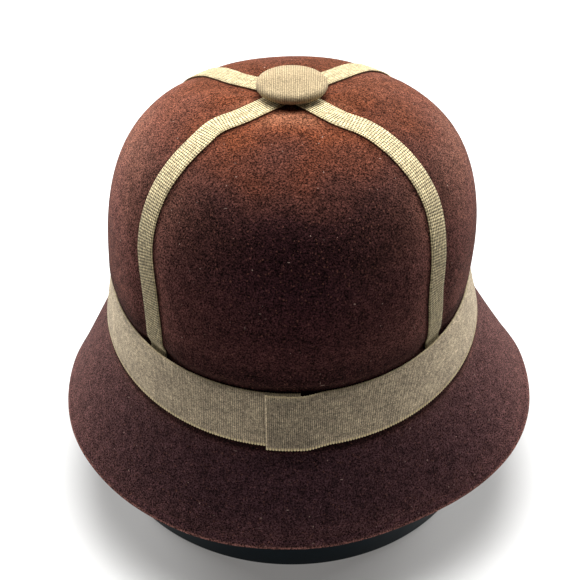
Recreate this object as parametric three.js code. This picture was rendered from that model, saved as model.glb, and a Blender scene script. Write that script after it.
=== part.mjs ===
import * as THREE from "three";

// Cloche hat of velour felt, trimmed with grosgrain ribbon, on a plain round display stand.
// Millimetres, +Z up. The origin is on the floor under the middle of the stand, and -Y is the near
// side of the hat, where the hat band laps. Round the hat, a turn is counted from the near side
// towards +X. Down the felt, a run is 0 at the top of the crown, 1 at its foot and 2 at the brim's edge.

// Display stand
const STAND_RADIUS = 90;
const STAND_HEIGHT = 64;
const STAND_EDGE = 3; // rounding of its upper edge
const STAND_FOOT_EDGE = 1; // rounding of its lower edge

// Felt body
const FELT = 2.2;
const HEAD_HALF_WIDTH = 83.8; // outer face of the felt at the foot of the crown
const HEAD_HALF_LENGTH = 101.2;
const TOP_RATIO = 0.97; // length over width where the dome closes
const CROWN_HEIGHT = 109.9;
const BAND_DRAW = 5.5; // how far the band draws the wall of the crown in at its upper edge
const DOME_DRAW = 4.4; // the same where the wall goes over into the dome
const WALL_RISE = 5.5; // from the band's upper edge up to where the dome starts
const DOME_SQUARENESS = 2.74; // 2 is an ellipse, more is squarer
const CROWN_LEAN = 16.3; // how far the top leans towards the near side
const FOOT_SWAY = 0.4; // how far the foot of the crown sits to the right
const WALL_SWAY = -0.8; // the same at the top of the wall, which hangs over the band on the left
const DOME_SWAY = 1; // the same at the shoulders of the dome, beside a straight way to its top
const GROOVE_DEPTH = 1.8; // how far the crown ribbons draw the felt in between its panels
const GROOVE_REACH = 13; // how far beside a ribbon's middle the groove runs out
const BRIM_WIDTH = 47;
const BRIM_BEND = 9; // length of the bend between crown and brim

// Ribbons
const BAND_WIDTH = 22.2;
const BAND_THICKNESS = 1;
const BAND_HEIGHT = 2.5; // from the foot of the crown to the band's lower edge
const LAP_TURN = -6.8; // where the upper end of the band lies
const LAP_LENGTH = 17; // how far the ends cover each other
const LAP_RISE = 14; // length over which the upper end climbs on the lower one
const TRIM_WIDTH = 9.5;
const TRIM_THICKNESS = 1;
const TRIM_TUCK = 7; // how far the crown ribbons run down behind the band
const TRIM_TOP_GAP = 0.8; // between the ribbons' ends under the button

// Button
const BUTTON_RADIUS = 14;
const BUTTON_HEIGHT = 6.5;
const BUTTON_EDGE = 2.2; // height of its rounded side

const CLEARANCE = 0.4; // gap between pieces that lie on each other
const TRIM_CLEARANCE = 0.6; // the same between a crown ribbon and the grooved felt under it

// How fine the surfaces are
const TURNS = 72; // round the felt
const DOME_ROWS = 11;
const BRIM_ROWS = 7;
const BAND_STEPS = 120;
const TRIM_STEPS = 20; // over the dome
const ROUND_SIDES = 72;
const BEND_STEPS = 6; // along the bend between crown and brim
const CORNER_STEPS = 3; // round each edge of the stand
const BUTTON_EDGE_STEPS = 6; // round the button's side
const BUTTON_DOME_STEPS = 4; // over its top
const SEAT_TURNS = 180; // where the felt is tried on the stand, round it
const SEAT_ROWS = 60; // the same down the crown, and again down the brim
const PROBE = 1e-3; // step of run along a surface that gives its direction
const SEARCH_ROUNDS = 5; // rounds in which a place on the felt is found

// The brim round the hat: its slope below the horizontal in degrees, its width as a share of the
// brim's width.
const BRIM_TABLE = [
  { turn: 0, slope: 71, width: 0.925 },
  { turn: 30, slope: 66.5, width: 0.91 },
  { turn: 60, slope: 51, width: 0.975 },
  { turn: 90, slope: 53, width: 1 },
  { turn: 120, slope: 65, width: 1 },
  { turn: 150, slope: 61, width: 0.95 },
  { turn: 180, slope: 52, width: 0.92 },
  { turn: 210, slope: 58, width: 0.95 },
  { turn: 240, slope: 69, width: 1 },
  { turn: 270, slope: 61, width: 1 },
  { turn: 300, slope: 57.5, width: 0.965 },
  { turn: 330, slope: 65.5, width: 0.955 },
];

// The way of the crown ribbons: run down the crown, and how far each one turns, in degrees, from
// the near side if it is one of the near pair, from the far side if it is one of the far pair.
const TRIM_TABLE = [
  { run: 0, nearRight: 39, farRight: 44, farLeft: 58, nearLeft: 44 },
  { run: 0.14, nearRight: 43.5, farRight: 44, farLeft: 56.2, nearLeft: 48.5 },
  { run: 0.2, nearRight: 50, farRight: 41.6, farLeft: 51.2, nearLeft: 53.5 },
  { run: 0.26, nearRight: 51.5, farRight: 39.5, farLeft: 47, nearLeft: 52 },
  { run: 0.4, nearRight: 50.8, farRight: 39, farLeft: 44, nearLeft: 51.3 },
  { run: 0.5, nearRight: 47.9, farRight: 39.5, farLeft: 43.5, nearLeft: 49.4 },
  { run: 0.6, nearRight: 45.6, farRight: 40, farLeft: 43.5, nearLeft: 45 },
  { run: 0.72, nearRight: 47.2, farRight: 40.5, farLeft: 43.5, nearLeft: 42.7 },
  { run: 1, nearRight: 46.5, farRight: 41.5, farLeft: 43.5, nearLeft: 42 },
];
const TRIMS = ["nearRight", "farRight", "farLeft", "nearLeft"];

const DEGREE = Math.PI / 180;
const FULL_TURN = 2 * Math.PI;
const DOME_RUN = 0.72; // run at which the dome goes over into the wall
const DOME_EASE = 1.5; // how slowly the dome starts to lean and to grow round
const BAND_TOP = BAND_HEIGHT + BAND_WIDTH; // over the foot of the crown
const WALL_HEIGHT = BAND_TOP + WALL_RISE;
const MEAN_RADIUS = Math.sqrt(HEAD_HALF_WIDTH * HEAD_HALF_LENGTH);

// Value of a table's column at a place, smooth through the rows; "period" makes the table go round.
function lookUp(table, key, column, place, period = 0) {
  const count = table.length;
  const at = (i) => {
    const wrap = Math.floor(i / count);
    if (period) {
      const row = table[i - wrap * count];
      return { place: row[key] + wrap * period, value: row[column] };
    }
    const row = table[Math.min(Math.max(i, 0), count - 1)];
    return { place: row[key], value: row[column] };
  };
  const from = table[0][key];
  let where = place;
  if (period) where = from + THREE.MathUtils.euclideanModulo(place - from, period);
  let i = 0;
  while (i < count - (period ? 1 : 2) && where >= at(i + 1).place) i += 1;
  const [before, left, right, after] = [at(i - 1), at(i), at(i + 1), at(i + 2)];
  const step = right.place - left.place;
  const share = THREE.MathUtils.clamp((where - left.place) / step, 0, 1);
  const slopeLeft = ((right.value - before.value) / (right.place - before.place)) * step;
  const slopeRight = ((after.value - left.value) / (after.place - left.place)) * step;
  const s2 = share * share;
  const s3 = s2 * share;
  return (
    (2 * s3 - 3 * s2 + 1) * left.value +
    (s3 - 2 * s2 + share) * slopeLeft +
    (3 * s2 - 2 * s3) * right.value +
    (s3 - s2) * slopeRight
  );
}

// Ellipse round the crown at a run of 0 to 1: height over the foot, half width, half length, and how
// far its middle is shifted along Y and X.
function crownRing(run) {
  const footRatio = HEAD_HALF_LENGTH / HEAD_HALF_WIDTH;
  if (run >= DOME_RUN) {
    const z = (WALL_HEIGHT * (1 - run)) / (1 - DOME_RUN);
    const behindBand = Math.min(z / BAND_TOP, 1);
    const overBand = THREE.MathUtils.smoothstep(z, BAND_TOP + BAND_THICKNESS, WALL_HEIGHT);
    const draw = THREE.MathUtils.lerp(BAND_DRAW * behindBand, DOME_DRAW, overBand);
    const halfWidth = HEAD_HALF_WIDTH - draw;
    return {
      z,
      halfWidth,
      halfLength: halfWidth * footRatio,
      lean: 0,
      sway: THREE.MathUtils.lerp(FOOT_SWAY, WALL_SWAY, z / WALL_HEIGHT),
    };
  }
  const angle = (run / DOME_RUN) * (Math.PI / 2);
  const power = DOME_SQUARENESS;
  const reach = (Math.sin(angle) ** power + Math.cos(angle) ** power) ** (-1 / power);
  const share = reach * Math.cos(angle);
  const halfWidth = (HEAD_HALF_WIDTH - DOME_DRAW) * reach * Math.sin(angle);
  return {
    z: WALL_HEIGHT + (CROWN_HEIGHT - WALL_HEIGHT) * share,
    halfWidth,
    halfLength: halfWidth * THREE.MathUtils.lerp(footRatio, TOP_RATIO, share ** DOME_EASE),
    lean: -CROWN_LEAN * share ** DOME_EASE,
    sway: WALL_SWAY * (1 - share) + DOME_SWAY * 4 * share * (1 - share),
  };
}

// Turn of a crown ribbon at a run.
function trimTurn(trim, run) {
  const angle = lookUp(TRIM_TABLE, "run", trim, run) * DEGREE;
  const side = trim.endsWith("Right") ? 1 : -1;
  return side * (trim.startsWith("near") ? angle : Math.PI - angle);
}

// How far the felt is drawn in at a point: most under the crown ribbons, nothing at the foot.
function groove(turn, run, ring) {
  const radius = Math.sqrt(ring.halfWidth * ring.halfLength);
  let nearest = Infinity;
  for (const trim of TRIMS) {
    const apart = THREE.MathUtils.euclideanModulo(turn - trimTurn(trim, run), FULL_TURN);
    nearest = Math.min(nearest, Math.min(apart, FULL_TURN - apart) * radius);
  }
  const ribbonEnd = BAND_TOP - TRIM_TUCK;
  // Behind the band the ribbons lie level with the panels.
  const behindBand = TRIM_CLEARANCE + TRIM_THICKNESS + CLEARANCE;
  const started = THREE.MathUtils.smoothstep(ring.z, BAND_HEIGHT, ribbonEnd);
  const free = THREE.MathUtils.smoothstep(ring.z, BAND_TOP, BAND_TOP + 2 * TRIM_WIDTH);
  const depth = started * THREE.MathUtils.lerp(behindBand, GROOVE_DEPTH, free);
  return depth * Math.exp(-((nearest / GROOVE_REACH) ** 2));
}

// Point of the crown's outer face, with the grooves or as if it had none.
function crownPoint(turn, run, grooved = true) {
  const ring = crownRing(run);
  const depth = grooved ? groove(turn, run, ring) : 0;
  const size = 1 - depth / MEAN_RADIUS;
  return new THREE.Vector3(
    ring.sway + ring.halfWidth * size * Math.sin(turn),
    ring.lean - ring.halfLength * size * Math.cos(turn),
    ring.z,
  );
}

// The brim leaves the foot of the crown in a bend and goes on straight to its edge.
function brimPoint(turn, run) {
  const degrees = turn / DEGREE;
  const slope = lookUp(BRIM_TABLE, "turn", "slope", degrees, 360) * DEGREE;
  const width = BRIM_WIDTH * lookUp(BRIM_TABLE, "turn", "width", degrees, 360);
  const foot = crownPoint(turn, 1);
  const outward = new THREE.Vector3(
    Math.sin(turn) / HEAD_HALF_WIDTH,
    -Math.cos(turn) / HEAD_HALF_LENGTH,
    0,
  ).normalize();
  const wall = crownPoint(turn, 1 - PROBE).sub(foot);
  const wallSlope = Math.atan2(wall.z, -wall.dot(outward));
  const way = (run - 1) * width;
  // The slope turns evenly from the wall's to the brim's over the bend.
  const bent = Math.min(way, BRIM_BEND);
  for (let i = 0; i < BEND_STEPS; i += 1) {
    const share = ((i + 0.5) / BEND_STEPS) * (bent / BRIM_BEND);
    const here = THREE.MathUtils.lerp(wallSlope, slope, share);
    foot.addScaledVector(outward, (Math.cos(here) * bent) / BEND_STEPS);
    foot.z -= (Math.sin(here) * bent) / BEND_STEPS;
  }
  const straight = way - bent;
  foot.addScaledVector(outward, Math.cos(slope) * straight);
  foot.z -= Math.sin(slope) * straight;
  return foot;
}

// Point of the felt's outer face.
function feltPoint(turn, run) {
  return run <= 1 ? crownPoint(turn, run) : brimPoint(turn, run);
}

// Outward normal of a surface that is given as a point for each turn and run. It is taken on the
// plane of turn and run, so that it holds at the top of the crown too.
function surfaceNormal(surface, turn, run) {
  const at = (x, y) => surface(Math.atan2(x, -y), Math.hypot(x, y));
  const x = run * Math.sin(turn);
  const y = -run * Math.cos(turn);
  const alongX = at(x + PROBE, y).sub(at(x - PROBE, y));
  const alongY = at(x, y + PROBE).sub(at(x, y - PROBE));
  return alongX.cross(alongY).normalize();
}

// Point at a height over a surface, below it if the height is negative.
function overSurface(surface, turn, run, height) {
  return surface(turn, run).addScaledVector(surfaceNormal(surface, turn, run), height);
}

// Closed mesh from rings of points that follow each other. Each ring has as many points as the
// others, and the first and the last are closed by a fan round their middle. Seen from the first
// ring, the points go round clockwise.
function loft(rings) {
  const sides = rings[0].length;
  const last = rings.length - 1;
  const positions = rings.flat().flatMap((p) => [p.x, p.y, p.z]);
  const index = [];
  for (let r = 0; r < last; r += 1) {
    for (let i = 0; i < sides; i += 1) {
      const here = r * sides;
      const next = here + sides;
      const j = (i + 1) % sides;
      index.push(here + i, next + i, here + j);
      index.push(here + j, next + i, next + j);
    }
  }
  const closeRing = (r, ahead) => {
    const middle = new THREE.Vector3();
    for (const p of rings[r]) middle.addScaledVector(p, 1 / sides);
    const centre = positions.length / 3;
    positions.push(middle.x, middle.y, middle.z);
    for (let i = 0; i < sides; i += 1) {
      const a = r * sides + i;
      const b = r * sides + ((i + 1) % sides);
      index.push(centre, ahead ? b : a, ahead ? a : b);
    }
  };
  closeRing(0, false);
  closeRing(last, true);
  const geometry = new THREE.BufferGeometry();
  geometry.setAttribute("position", new THREE.Float32BufferAttribute(positions, 3));
  geometry.setIndex(index);
  geometry.computeVertexNormals();
  return geometry;
}

function piece(name, geometry, color, roughness, metalness = 0) {
  const mesh = new THREE.Mesh(
    geometry,
    new THREE.MeshStandardMaterial({ color, roughness, metalness }),
  );
  mesh.name = name;
  return mesh;
}

// Crown and brim, blocked in one from a single felt: a wall open below, with a rounded edge.
function feltBody() {
  const runs = [];
  for (let i = 0; i < DOME_ROWS; i += 1) runs.push((DOME_RUN * (i + 0.5)) / DOME_ROWS);
  const heights = [WALL_HEIGHT, BAND_TOP + WALL_RISE / 2, BAND_TOP, BAND_TOP / 2, 0];
  for (const height of heights) runs.push(wallRun(height));
  const bendRun = BRIM_BEND / BRIM_WIDTH;
  runs.push(1 + bendRun / 2);
  for (let i = 0; i < BRIM_ROWS; i += 1) {
    runs.push(1 + THREE.MathUtils.lerp(bendRun, 1, i / (BRIM_ROWS - 1)));
  }
  const rings = [];
  const addRing = (run, depth) => {
    const ring = [];
    for (let i = 0; i < TURNS; i += 1) {
      ring.push(overSurface(feltPoint, (i / TURNS) * FULL_TURN, run, -depth));
    }
    rings.push(ring);
  };
  for (const run of runs) addRing(run, 0);
  addRing(2 + FELT / 2 / BRIM_WIDTH, FELT / 2);
  for (const run of [...runs].reverse()) addRing(run, FELT);
  return piece("felt_body", loft(rings), 0x3a1a12, 0.95);
}

// Run of the felt at a height over the foot of the crown, on its wall.
function wallRun(height) {
  return 1 - (height / WALL_HEIGHT) * (1 - DOME_RUN);
}

// Hat band: one ribbon once round the crown, whose upper end laps over the lower one.
function hatBand() {
  const radius = HEAD_HALF_LENGTH;
  const lapAngle = LAP_LENGTH / radius;
  const riseAngle = LAP_RISE / radius;
  const start = LAP_TURN * DEGREE + lapAngle;
  const whole = FULL_TURN + lapAngle;
  const low = wallRun(BAND_HEIGHT);
  const high = wallRun(BAND_TOP);
  const levelPoint = (turn, run) => crownPoint(turn, run, false);
  const over = (turn, run, height) => overSurface(levelPoint, turn, run, height);
  const sections = [];
  for (let i = 0; i <= BAND_STEPS; i += 1) {
    const travelled = (i / BAND_STEPS) * whole;
    const turn = start - travelled;
    const left = whole - travelled;
    const climb = 1 - THREE.MathUtils.smoothstep(left, lapAngle, lapAngle + riseAngle);
    const inner = CLEARANCE + climb * (BAND_THICKNESS + CLEARANCE);
    const outer = inner + BAND_THICKNESS;
    sections.push([
      over(turn, low, inner),
      over(turn, high, inner),
      over(turn, high, outer),
      over(turn, low, outer),
    ]);
  }
  return piece("hat_band", loft(sections), 0x5d5340, 0.85);
}

// Place on the felt, as a point of the plane of turn and run, that lies under a point in space.
function placeUnder(target, guess) {
  const place = guess.clone();
  const at = (p) => feltPoint(Math.atan2(p.x, -p.y), p.length());
  for (let round = 0; round < SEARCH_ROUNDS; round += 1) {
    const here = at(place);
    const alongX = at(new THREE.Vector2(place.x + PROBE, place.y)).sub(here).divideScalar(PROBE);
    const alongY = at(new THREE.Vector2(place.x, place.y + PROBE)).sub(here).divideScalar(PROBE);
    const miss = target.clone().sub(here);
    const xx = alongX.dot(alongX);
    const xy = alongX.dot(alongY);
    const yy = alongY.dot(alongY);
    const mx = alongX.dot(miss);
    const my = alongY.dot(miss);
    const det = xx * yy - xy * xy;
    place.x += (mx * yy - my * xy) / det;
    place.y += (my * xx - mx * xy) / det;
  }
  return place;
}

// Crown ribbon: from under the button over the dome and down behind the band.
function crownRibbon(trim, name) {
  const along = (run) => {
    const turn = trimTurn(trim, run);
    return new THREE.Vector2(run * Math.sin(turn), -run * Math.cos(turn));
  };
  const point = (place) => feltPoint(Math.atan2(place.x, -place.y), place.length());
  const normal = (place) => surfaceNormal(feltPoint, Math.atan2(place.x, -place.y), place.length());
  // The ribbons stop where neighbours would meet under the button.
  const turns = TRIMS.map((each) => trimTurn(each, 0));
  const narrowest = Math.min(
    ...turns.map((turn, i) => {
      const next = turns[(i + 1) % turns.length];
      return THREE.MathUtils.euclideanModulo(next - turn, FULL_TURN) / 2;
    }),
  );
  const stop = TRIM_WIDTH / 2 / Math.tan(narrowest) + TRIM_TOP_GAP;
  const first = stop / (HEAD_HALF_WIDTH - DOME_DRAW);
  const from = (first * DOME_RUN * 2) / Math.PI;
  const runs = [];
  for (let i = 0; i < TRIM_STEPS; i += 1) {
    runs.push(THREE.MathUtils.lerp(from, DOME_RUN, i / TRIM_STEPS));
  }
  const ends = [WALL_HEIGHT, BAND_TOP + WALL_RISE / 2, BAND_TOP, BAND_TOP - TRIM_TUCK];
  for (const height of ends) runs.push(wallRun(height));
  const sections = [];
  for (const run of runs) {
    const place = along(run);
    const ahead = point(along(run + PROBE)).sub(point(along(run - PROBE))).normalize();
    const across = ahead.clone().cross(normal(place)).normalize();
    const section = [];
    for (const side of [-0.5, 0, 0.5]) {
      const target = point(place).addScaledVector(across, side * TRIM_WIDTH);
      section.push(placeUnder(target, place));
    }
    const lift = (spot, height) => point(spot).addScaledVector(normal(spot), height);
    sections.push([
      ...section.map((spot) => lift(spot, TRIM_CLEARANCE)),
      ...section.toReversed().map((spot) => lift(spot, TRIM_CLEARANCE + TRIM_THICKNESS)),
    ]);
  }
  return piece(name, loft(sections), 0x5d5340, 0.85);
}

// Button covered in the ribbon's cloth, over the ends of the crown ribbons.
function topButton() {
  const profile = [new THREE.Vector2(0, 0)];
  const flat = BUTTON_RADIUS - BUTTON_EDGE;
  const dome = BUTTON_HEIGHT - 2 * BUTTON_EDGE;
  profile.push(new THREE.Vector2(flat, 0));
  for (let i = 1; i < BUTTON_EDGE_STEPS; i += 1) {
    const angle = -Math.PI / 2 + (i / BUTTON_EDGE_STEPS) * Math.PI;
    profile.push(
      new THREE.Vector2(
        flat + BUTTON_EDGE * Math.cos(angle),
        BUTTON_EDGE + BUTTON_EDGE * Math.sin(angle),
      ),
    );
  }
  for (let i = 0; i < BUTTON_DOME_STEPS; i += 1) {
    const share = i / BUTTON_DOME_STEPS;
    profile.push(
      new THREE.Vector2(flat * (1 - share), 2 * BUTTON_EDGE + dome * (1 - (1 - share) ** 2)),
    );
  }
  profile.push(new THREE.Vector2(0, BUTTON_HEIGHT));
  const geometry = new THREE.LatheGeometry(profile, ROUND_SIDES / 2);
  geometry.rotateX(Math.PI / 2);
  const button = piece("top_button", geometry, 0x6b6049, 0.85);
  const top = feltPoint(0, 0);
  button.position.set(top.x, top.y, top.z + TRIM_CLEARANCE + TRIM_THICKNESS + CLEARANCE);
  return button;
}

// Height of the crown's foot over the floor at which the inside of the felt comes down on the
// rounded edge of the stand: the brim's, or that of a crown that is wider than the stand.
function footHeight() {
  const edgeRadius = STAND_RADIUS - STAND_EDGE;
  const away = STAND_EDGE + CLEARANCE;
  let lowest = Infinity;
  for (let t = 0; t < SEAT_TURNS; t += 1) {
    for (let r = 0; r <= 2 * SEAT_ROWS; r += 1) {
      const turn = (t / SEAT_TURNS) * FULL_TURN;
      const spot = overSurface(feltPoint, turn, r / SEAT_ROWS, -FELT);
      const beside = Math.max(Math.hypot(spot.x, spot.y) - edgeRadius, 0);
      if (beside < away) lowest = Math.min(lowest, spot.z - Math.sqrt(away ** 2 - beside ** 2));
    }
  }
  return STAND_HEIGHT - STAND_EDGE - lowest;
}

function displayStand() {
  const profile = [new THREE.Vector2(0, 0)];
  const corner = (radius, height, size, from) => {
    for (let i = 0; i <= CORNER_STEPS; i += 1) {
      const angle = from + ((i / CORNER_STEPS) * Math.PI) / 2;
      profile.push(
        new THREE.Vector2(radius + size * Math.cos(angle), height + size * Math.sin(angle)),
      );
    }
  };
  corner(STAND_RADIUS - STAND_FOOT_EDGE, STAND_FOOT_EDGE, STAND_FOOT_EDGE, -Math.PI / 2);
  corner(STAND_RADIUS - STAND_EDGE, STAND_HEIGHT - STAND_EDGE, STAND_EDGE, 0);
  profile.push(new THREE.Vector2(0, STAND_HEIGHT));
  const geometry = new THREE.LatheGeometry(profile, ROUND_SIDES);
  geometry.rotateX(Math.PI / 2);
  return piece("display_stand", geometry, 0x0b0d11, 0.35);
}

const hat = new THREE.Group();
hat.position.z = footHeight();
hat.add(feltBody());
hat.add(hatBand());
hat.add(crownRibbon("nearRight", "ribbon_near_right"));
hat.add(crownRibbon("farRight", "ribbon_far_right"));
hat.add(crownRibbon("farLeft", "ribbon_far_left"));
hat.add(crownRibbon("nearLeft", "ribbon_near_left"));
hat.add(topButton());

const whole = new THREE.Group();
whole.add(hat);
whole.add(displayStand());

export default whole;
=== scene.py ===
import math
from collections import namedtuple

import bmesh
import bpy
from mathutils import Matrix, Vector, noise
from mathutils.bvhtree import BVHTree


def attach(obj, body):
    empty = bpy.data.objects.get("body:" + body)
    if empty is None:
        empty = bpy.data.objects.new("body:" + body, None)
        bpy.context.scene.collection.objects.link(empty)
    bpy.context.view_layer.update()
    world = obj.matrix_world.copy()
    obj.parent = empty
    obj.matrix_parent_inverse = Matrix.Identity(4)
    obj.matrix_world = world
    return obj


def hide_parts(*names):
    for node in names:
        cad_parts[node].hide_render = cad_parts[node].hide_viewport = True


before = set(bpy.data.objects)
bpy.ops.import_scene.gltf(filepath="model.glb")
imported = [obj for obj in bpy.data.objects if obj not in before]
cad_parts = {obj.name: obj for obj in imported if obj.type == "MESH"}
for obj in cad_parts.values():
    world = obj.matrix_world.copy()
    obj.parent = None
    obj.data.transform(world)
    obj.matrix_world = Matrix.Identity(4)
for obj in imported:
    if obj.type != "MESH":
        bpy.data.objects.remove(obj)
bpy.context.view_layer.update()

# A cloche hat of velour felt, trimmed with grosgrain ribbon, on a plain round display stand.
# Metres, +Z up, the origin on the floor under the middle of the stand, -Y the near side, where
# the hat band laps. Round the hat, a turn is counted from the near side towards +X. Down the felt,
# a run is 0 at the top of the crown, 1 at its foot and 2 at the brim's edge.

MM = 0.001
FULL_TURN = 2 * math.pi
QUARTER_TURN = math.pi / 2

# Display stand
STAND_RADIUS = 90 * MM
STAND_HEIGHT = 64 * MM
STAND_EDGE = 3 * MM
STAND_FOOT_EDGE = 1 * MM

# Felt
FELT = 2.2 * MM
FELT_EDGE = 0.8 * MM  # how far the cut edge of the brim is rounded
FOOT_HEIGHT = 82.761 * MM  # foot of the crown over the floor
HEAD_HALF_WIDTH = 83.8 * MM
HEAD_HALF_LENGTH = 101.2 * MM
TOP_RATIO = 0.97
CROWN_HEIGHT = 109.9 * MM
BAND_DRAW = 5.5 * MM
DOME_DRAW = 4.4 * MM
WALL_RISE = 5.5 * MM
DOME_RUN = 0.72
DOME_EASE = 1.5
DOME_SQUARENESS = 2.74
CROWN_LEAN = 16.3 * MM
FOOT_SWAY = 0.4 * MM
WALL_SWAY = -0.8 * MM
DOME_SWAY = 1 * MM
BRIM_WIDTH = 47 * MM
BRIM_BEND = 9 * MM
BRIM_BEND_STEPS = 6

# Soft forms of the felt
GROOVE_DEPTH = 1.8 * MM  # under the crown ribbons
GROOVE_FLOOR = 0.45  # from the middle of a ribbon, as a share of its width
GROOVE_SHOULDER = 6.5 * MM  # from a ribbon's edge up to the panel beside it
GROOVE_ROUNDNESS = 1.7
PANEL_PUFF = 1.3 * MM  # how far the panels rise round the button
PUFF_FROM = 11 * MM
PUFF_FULL = PUFF_FROM + 7 * MM
PUFF_FALLS = PUFF_FROM + 9 * MM
PUFF_TO = 46 * MM
DENT = 0.45 * MM  # gentle unevenness of the blocked felt
DENT_SIZE = 42 * MM
HELD_RUN = 0.9  # about here the hat band holds the felt in its form
HELD_WITHIN, FREE_BEYOND = 0.12, 0.3  # in run from there
HEM = 4 * MM  # width of the pressed edge of the brim
HEM_LINE = 0.25 * MM
HEM_LINE_WIDTH = 0.8 * MM
HEM_ROLL = 0.25 * MM
HEM_ROLL_FULL = 0.4  # share of the hem's width that stands at its full height

# Painted light and shade on the felt: lighter where it faces up, with patches where the nap is
# brushed another way, painted shade beside the ribbons and over the band, and a painted highlight
# on the near panel's lip
UPRIGHT, LEVEL = 0.15, 0.97  # upward share of the felt's normal, where it counts as that
NAP_CLOUD = 15 * MM  # size of the patches in which the nap is brushed another way
NAP_UNEVEN = 0.12
SHADE_BESIDE_TRIM = 0.62  # how much painted shade darkens the felt right beside a crown ribbon
SHADE_BESIDE_TRIM_WIDTH = 2.6 * MM
# painted shade on the felt just over the band, under the bulge of the crown
SHADE_OVER_BAND = 0.72
SHADE_OVER_BAND_FULL = 2 * MM
SHADE_OVER_BAND_HEIGHT = 17 * MM
SHADE_FAR_TOP = 0.36  # how much painted shade darkens the top of the crown on the far side
SHADE_FAR_TOP_RUNS = (0.15, 0.4)
# how much painted shade darkens the right side of the crown
SHADE_RIGHT = 0.18
LIP_HIGHLIGHT = 0.75  # how strong the painted highlight is on the near panel's lip at the button
LIP_HIGHLIGHT_BESIDE = 3 * MM
LIP_HIGHLIGHT_RISES = (13 * MM, 17 * MM)
LIP_HIGHLIGHT_FALLS = (18 * MM, 30 * MM)
BRIM_STARTS = (0.98, 1.06)
RIM_STARTS = (1.965, 1.995)
RIM_SHEEN = 0.1  # how far the brim pales towards its rim
RIM_SHEEN_STARTS = (1.6, 1.97)

# Ribbons
BAND_WIDTH = 22.2 * MM
BAND_HEIGHT = 2.5 * MM
LAP_TURN = math.radians(-6.8)
LAP_LENGTH = 17 * MM
LAP_RISE = 14 * MM
LAP_FOLD = 9 * MM  # length that is folded under at the upper end
LAP_BEND = 1.5 * MM  # length that goes into the fold itself
LAP_BULGE = 0.3  # how far the fold stands out past the end, in layers
LAP_DROP = 0.8 * MM  # how much lower the upper end lies
LAYER_GAP = 0.2 * MM
RIBBON = 0.55 * MM  # thickness of the cloth
RIBBON_LIFT = 0.75 * MM  # gap between the band and the felt
TRIM_LIFT = 0.3 * MM
TRIM_WIDTH = 9.5 * MM
TRIM_TUCK = 7 * MM
TRIM_STOP = 5.2 * MM  # from the top of the crown to the ribbons' upper ends
SELVEDGE = 0.46  # from a ribbon's middle to where its loops start, as a share of its width
PICOT = 1.25 * MM  # pitch of the tiny loops along the band's edges
PICOT_DEPTH = 0.3 * MM
RIB = 0.85 * MM  # pitch of the ribs
MESH = 2.1 * MM  # slanting pitch of the crown ribbons' weave

# Painted light and shade on the ribbons, as factors on the colour of their cloth, and a darker lap
BAND_SIDES_LIT = 1.32
BAND_SIDES = (math.radians(20), math.radians(75))
LAP_PALE = 0.68
# painted highlight along the fold at the band's upper end
CREASE_HIGHLIGHT = 2.2
CREASE = (0.2 * MM, 0.8 * MM)
# painted light and shade on the crown ribbons: paler where they face up, darker where upright and on
# the far side
TRIM_TOP_LIT = {"near": 1.12, "far": 0.95}
TRIM_FOOT_SHADE = 0.64
TRIM_UPRIGHT = 0.15

# Button
BUTTON_RADIUS = 14 * MM
BUTTON_HEIGHT = 6.5 * MM
BUTTON_EDGE = 2.2 * MM
BUTTON_SEAT = 2 * MM  # underside of the button over the top of the felt
BUTTON_HOLLOW = 0.1 * MM  # the underside rises a little from its middle
BUTTON_HOLLOW_AT = 0.6

BAND_TOP = BAND_HEIGHT + BAND_WIDTH
WALL_HEIGHT = BAND_TOP + WALL_RISE
MEAN_RADIUS = math.sqrt(HEAD_HALF_WIDTH * HEAD_HALF_LENGTH)

# turn in degrees, slope below the horizontal in degrees, share of the brim's width
BRIM = (
    (0, 71, 0.925), (30, 66.5, 0.91), (60, 51, 0.975), (90, 53, 1), (120, 65, 1), (150, 61, 0.95),
    (180, 52, 0.92), (210, 58, 0.95), (240, 69, 1), (270, 61, 1), (300, 57.5, 0.965),
    (330, 65.5, 0.955),
)
SLOPE, WIDTH = 1, 2

# run, and the turn in degrees of each crown ribbon from the near or the far side
TRIM_WAYS = (
    (0, 39, 44, 58, 44), (0.14, 43.5, 44, 56.2, 48.5), (0.2, 50, 41.6, 51.2, 53.5),
    (0.26, 51.5, 39.5, 47, 52), (0.4, 50.8, 39, 44, 51.3), (0.5, 47.9, 39.5, 43.5, 49.4),
    (0.6, 45.6, 40, 43.5, 45), (0.72, 47.2, 40.5, 43.5, 42.7), (1, 46.5, 41.5, 43.5, 42),
)
TRIMS = {"near_right": 1, "far_right": 2, "far_left": 3, "near_left": 4}

# How fine the surfaces are
FELT_TURNS = 288
DOME_ROWS = 66
WALL_ROWS = 22
BRIM_ROWS = 28
HEM_ROWS = 16
HEM_ROWS_FROM = 1.5 * HEM
BAND_STEPS = 2200
TRIM_STEPS = 300
ACROSS_STEPS = 8
BUTTON_TURNS = 160
BUTTON_SIDE_STEPS = 12
BUTTON_DOME_STEPS = 22
STAND_TURNS = 256
STAND_EDGE_STEPS = 8


# Shape of the felt

Ring = namedtuple("Ring", "z half_width half_length lean sway")


def mix(a, b, share):
    return a + (b - a) * share


def ease(value, low, high):
    """0 below low, 1 above high, smooth between."""
    share = min(max((value - low) / (high - low), 0), 1)
    return share * share * (3 - 2 * share)


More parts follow.
